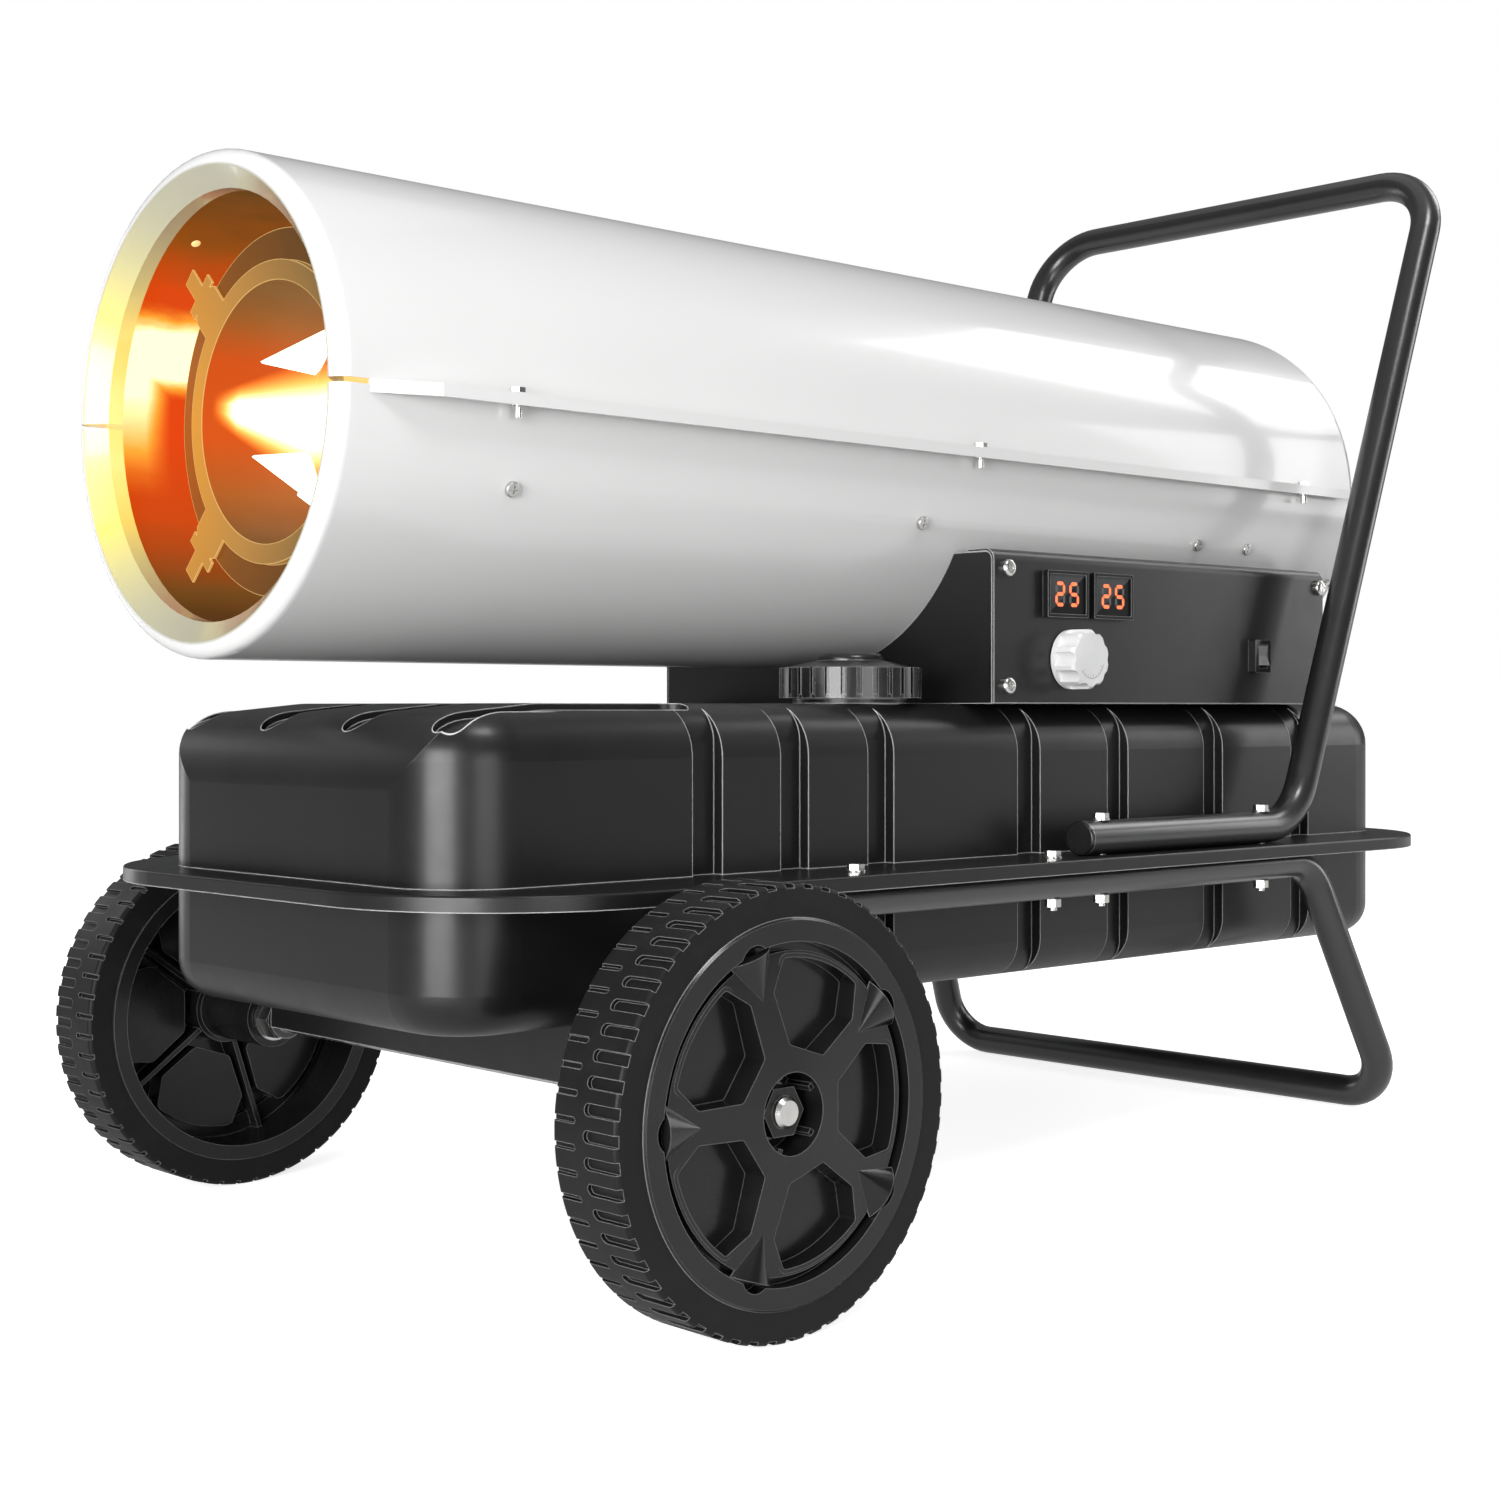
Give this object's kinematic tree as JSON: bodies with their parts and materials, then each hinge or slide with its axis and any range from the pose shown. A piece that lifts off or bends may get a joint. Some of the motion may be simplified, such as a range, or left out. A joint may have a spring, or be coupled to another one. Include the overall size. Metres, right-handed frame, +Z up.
{
  "type": "forced air heater",
  "caption": "Portable fuel-fired forced air heater: a round burner barrel on a ribbed fuel tank with wheels, a foot frame and a push handle.",
  "frame": {"origin": "centre of the bounding box at floor level, standing on both wheels and the foot bar", "axes": "+X along the barrel from the hot-air outlet to the push handle, +Y across with the controls on -Y, +Z up"},
  "size_m": [1.0901, 0.632, 0.7809],
  "materials": {
    "painted_white": "gloss white enamel",
    "painted_black": "satin black powder coat",
    "zinc": "bright zinc plate",
    "heat_steel": "heat-stained steel",
    "brass": "machined brass",
    "ceramic": "white glazed ceramic",
    "aluminium": "cast and pressed aluminium",
    "motor_grey": "grey enamel",
    "shaft_steel": "ground steel",
    "carbon": "moulded carbon",
    "guard_wire": "black wire",
    "clear_hose": "clear flexible hose",
    "black_hose": "black fuel hose",
    "black_plastic": "gloss black moulding",
    "matte_black": "matt black moulding",
    "mesh": "nylon mesh basket",
    "gasket": "nitrile rubber",
    "display_glass": "dark tinted window",
    "knob_grey": "light grey moulding",
    "board": "green circuit board",
    "tyre": "black rubber tyre"
  },
  "bodies": {
    "heater": {"upper_shell": "painted_white", "lower_shell": "painted_white", "tank_upper": "painted_black", "tank_lower": "painted_black", "support_box": "painted_black", "control_panel": "painted_black", "right_panel": "painted_black", "handle": "painted_black", "foot_frame": "painted_black", "axle_bracket": "painted_black", "filler_neck": "painted_black", "shell_bolts": "zinc", "shell_nuts": "zinc", "shell_screws": "zinc", "panel_screws": "zinc", "rim_bolts": "zinc", "rim_nuts": "zinc", "axle_nuts": "zinc", "axle_washers": "zinc", "axle": "zinc", "drain_plug": "zinc", "chamber_brackets": "zinc", "motor_bracket": "zinc", "pickup_tube": "zinc", "combustion_chamber": "heat_steel", "flame_spreader": "heat_steel", "burner_head": "heat_steel", "fuel_nozzle": "brass", "nozzle_holder": "brass", "pickup_filter": "brass", "igniter": "ceramic", "pump_body": "aluminium", "pump_cover": "aluminium", "motor_body": "motor_grey", "rear_guard": "guard_wire", "air_hose": "clear_hose", "fuel_hose": "black_hose", "display_bezels": "black_plastic", "switch_body": "black_plastic", "handle_caps": "black_plastic", "cable_gland": "black_plastic", "photocell": "matte_black", "thermostat_body": "matte_black", "ignition_transformer": "matte_black", "filler_strainer": "mesh", "display_windows": "display_glass", "control_board": "board"},
    "left_wheel": {"left_tyre": "tyre", "left_rim": "black_plastic"},
    "right_wheel": {"right_tyre": "tyre", "right_rim": "black_plastic"},
    "fan_rotor": {"fan": "aluminium", "motor_shaft": "shaft_steel", "pump_rotor": "aluminium", "pump_vanes": "carbon"},
    "thermostat": {"thermostat_knob": "knob_grey"},
    "rocker": {"switch_rocker": "black_plastic"},
    "cap_carrier": {"cap_gasket": "gasket"},
    "cap": {"fuel_cap": "black_plastic"}
  },
  "joints": [
    {"name": "left_wheel_spin", "type": "hinge", "parent": "heater", "child": "left_wheel", "pos_m": [-0.36346, -0.285, 0.127], "axis": [0, 1, 0], "continuous": true},
    {"name": "right_wheel_spin", "type": "hinge", "parent": "heater", "child": "right_wheel", "pos_m": [-0.36346, 0.285, 0.127], "axis": [0, 1, 0], "continuous": true},
    {"name": "fan_spin", "type": "hinge", "parent": "heater", "child": "fan_rotor", "pos_m": [0.21053, 0, 0.51192], "axis": [0.9994, 0, -0.0354], "continuous": true},
    {"name": "thermostat_turn", "type": "hinge", "parent": "heater", "child": "thermostat", "pos_m": [0.06545, -0.172, 0.37096], "axis": [0, 1, 0], "range_deg": [0, 270]},
    {"name": "switch_rock", "type": "hinge", "parent": "heater", "child": "rocker", "pos_m": [0.3015, -0.175, 0.3684], "axis": [0.9994, 0, -0.0354], "range_deg": [0, 16]},
    {"name": "cap_lift", "type": "slide", "parent": "heater", "child": "cap_carrier", "axis": [0.0354, 0, 0.9994], "range_m": [0, 0.009]},
    {"name": "cap_turn", "type": "hinge", "parent": "cap_carrier", "child": "cap", "pos_m": [-0.0922, -0.104, 0.35554], "axis": [0.0354, 0, 0.9994], "range_deg": [0, 720]}
  ],
  "couplings": [
    {"joint": "cap_lift", "follows": "cap_turn", "m_per_rad": 0.0007162}
  ]
}
